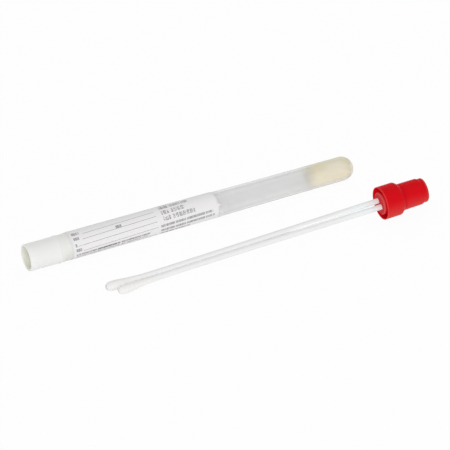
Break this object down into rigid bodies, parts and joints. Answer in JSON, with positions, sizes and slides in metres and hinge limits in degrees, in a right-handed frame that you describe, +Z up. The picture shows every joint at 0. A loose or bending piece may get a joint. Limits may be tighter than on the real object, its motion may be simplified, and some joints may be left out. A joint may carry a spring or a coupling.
{
  "type": "specimen swab tube",
  "caption": "Round-ended transport tube with a blank-form paper label and a foam plug, lying open beside its push-on cap, which carries a pair of fibre-tipped swabs.",
  "frame": {"origin": "on the surface that the tube and the cap lie on, under the middle of the layout's bounding box", "axes": "+X from the tube's open mouth to its round end, along the tube as seen from above; +Y from the swabs to the tube; +Z up"},
  "size_m": [0.1758, 0.0472, 0.0151],
  "materials": {
    "tube_plastic": "frosted, milky translucent polypropylene",
    "label_paper": "smooth white label paper with a grey printed form",
    "foam": "pale cream open-cell foam, moist",
    "cap_plastic": "satin-gloss red moulded polyethylene",
    "shaft_plastic": "smooth white polystyrene, a little translucent",
    "tip_fibre": "soft white spun fibre"
  },
  "bodies": {
    "transport_tube": {"tube": "tube_plastic", "label": "label_paper", "foam_plug": "foam"},
    "capped_swabs": {"cap": "cap_plastic", "long_shaft": "shaft_plastic", "short_shaft": "shaft_plastic", "long_tip": "tip_fibre", "short_tip": "tip_fibre"}
  },
  "joints": [
    {"name": "swab_lift", "type": "slide", "parent": "transport_tube", "child": "capped_swabs", "axis": [0, 0, 1], "range_m": [0, 0.06]}
  ]
}
